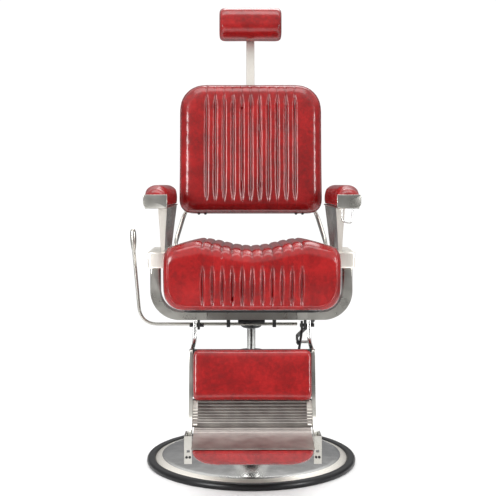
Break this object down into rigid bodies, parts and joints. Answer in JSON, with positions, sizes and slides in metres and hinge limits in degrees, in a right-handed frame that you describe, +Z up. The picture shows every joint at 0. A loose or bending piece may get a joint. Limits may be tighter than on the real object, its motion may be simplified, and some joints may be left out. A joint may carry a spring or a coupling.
{
  "type": "hydraulic barber chair",
  "caption": "Upholstered barber chair with a hydraulic column on a round base, reclining back, sliding headrest, padded arms and a folding footrest.",
  "frame": {"origin": "on the floor, at the centre of the round base plate's underside, on the pump column's axis", "axes": "+Z up along the column, the sitter faces -Y, +X is the sitter's left, with the pump lever on the -X side"},
  "size_m": [0.6416, 0.8737, 1.3453],
  "materials": {
    "chrome_steel": "polished chrome plate on steel",
    "plain_steel": "machined steel",
    "brushed_bar": "bright nickel plate",
    "black_steel": "black powder coat",
    "red_vinyl": "glossy grained artificial leather over foam",
    "black_rubber": "smooth moulded rubber",
    "cast_aluminium": "polished cast aluminium",
    "plywood": "raw plywood",
    "back_panel": "plywood board under black vinyl"
  },
  "bodies": {
    "base": {"base_plate": "plain_steel", "base_rim_ring": "black_rubber", "base_cover": "chrome_steel", "pump_cylinder": "plain_steel", "pump_cover": "chrome_steel", "pump_gland_cap": "chrome_steel", "pump_wiper_seal": "black_rubber"},
    "ram": {"ram_rod": "chrome_steel", "ram_piston": "plain_steel", "ram_piston_seal": "black_rubber"},
    "chair": {"swivel_hub": "black_steel", "seat_mount_plate": "black_steel", "seat_yoke": "chrome_steel", "seat_board": "plywood", "seat_cushion": "red_vinyl", "side_block_left": "chrome_steel", "side_block_right": "chrome_steel", "back_pivot_pin_left": "plain_steel", "back_pivot_pin_right": "plain_steel", "seat_rail_left": "black_steel", "seat_rail_right": "black_steel", "arm_front_post_left": "chrome_steel", "arm_front_post_right": "chrome_steel", "arm_side_panel_left": "chrome_steel", "arm_side_panel_right": "chrome_steel", "arm_rail_left": "chrome_steel", "arm_rail_right": "chrome_steel", "arm_pad_left": "red_vinyl", "arm_pad_right": "red_vinyl", "footrest_lug_left": "black_steel", "footrest_lug_right": "black_steel", "lever_bearing_left": "black_steel", "lever_bearing_right": "black_steel"},
    "pump_handle": {"pump_lever": "chrome_steel", "pump_lever_grip": "chrome_steel"},
    "recline_release": {"release_bail": "chrome_steel"},
    "back": {"back_cushion": "red_vinyl", "back_board": "back_panel", "headrest_sleeve": "black_steel", "link_pin": "plain_steel", "back_bracket_left": "chrome_steel", "back_bracket_right": "chrome_steel"},
    "headrest_post": {"headrest_bar": "brushed_bar"},
    "headrest": {"headrest_plate": "plain_steel", "headrest_pin": "plain_steel", "headrest_cushion": "red_vinyl"},
    "push_rod": {"recline_link_rod": "black_steel"},
    "footrest": {"calf_board": "plywood", "calf_pad": "red_vinyl", "footrest_grille": "cast_aluminium", "calf_stay_rod": "black_steel", "footrest_arm_left": "chrome_steel", "footrest_arm_right": "chrome_steel", "footrest_side_left": "chrome_steel", "footrest_side_right": "chrome_steel"},
    "footplate": {"footplate_tread": "cast_aluminium", "footplate_pad": "red_vinyl", "footplate_bracket_left": "cast_aluminium", "footplate_bracket_right": "cast_aluminium"}
  },
  "joints": [
    {"name": "column_lift", "type": "slide", "parent": "base", "child": "ram", "axis": [0, 0, 1], "range_m": [-0.055, 0.105]},
    {"name": "chair_swivel", "type": "hinge", "parent": "ram", "child": "chair", "pos_m": [0, 0, 0.4], "axis": [0, 0, 1], "continuous": true},
    {"name": "pump_stroke", "type": "hinge", "parent": "chair", "child": "pump_handle", "pos_m": [0, -0.035, 0.4005], "axis": [1, 0, 0], "range_deg": [-25, 25], "stiffness_Nm_per_rad": 3},
    {"name": "release_pull", "type": "hinge", "parent": "chair", "child": "recline_release", "pos_m": [0.25, -0.2, 0.7305], "axis": [1, 0, 0], "range_deg": [0, 15], "stiffness_Nm_per_rad": 0.05},
    {"name": "back_recline", "type": "hinge", "parent": "chair", "child": "back", "pos_m": [0, 0.205, 0.5865], "axis": [-1, 0, 0], "range_deg": [0, 50]},
    {"name": "footrest_swing", "type": "hinge", "parent": "chair", "child": "footrest", "pos_m": [0, -0.2, 0.421], "axis": [-1, 0, 0], "range_deg": [0, 50]},
    {"name": "push_rod_pivot", "type": "hinge", "parent": "back", "child": "push_rod", "pos_m": [0.2165, 0.19874, 0.54194], "axis": [-1, 0, 0], "range_deg": [-50, 0]},
    {"name": "footplate_flip", "type": "hinge", "parent": "footrest", "child": "footplate", "pos_m": [0, -0.372, 0.158], "axis": [-1, 0, 0], "range_deg": [0, 85]},
    {"name": "headrest_height", "type": "slide", "parent": "back", "child": "headrest_post", "axis": [0, 0.1392, 0.9903], "range_m": [-0.13, 0]},
    {"name": "headrest_tilt", "type": "hinge", "parent": "headrest_post", "child": "headrest", "pos_m": [0, 0.36286, 1.28937], "axis": [-1, 0, 0], "range_deg": [-8, 30]}
  ],
  "couplings": [
    {"joint": "footrest_swing", "follows": "back_recline", "ratio": 1},
    {"joint": "push_rod_pivot", "follows": "back_recline", "ratio": -1}
  ]
}
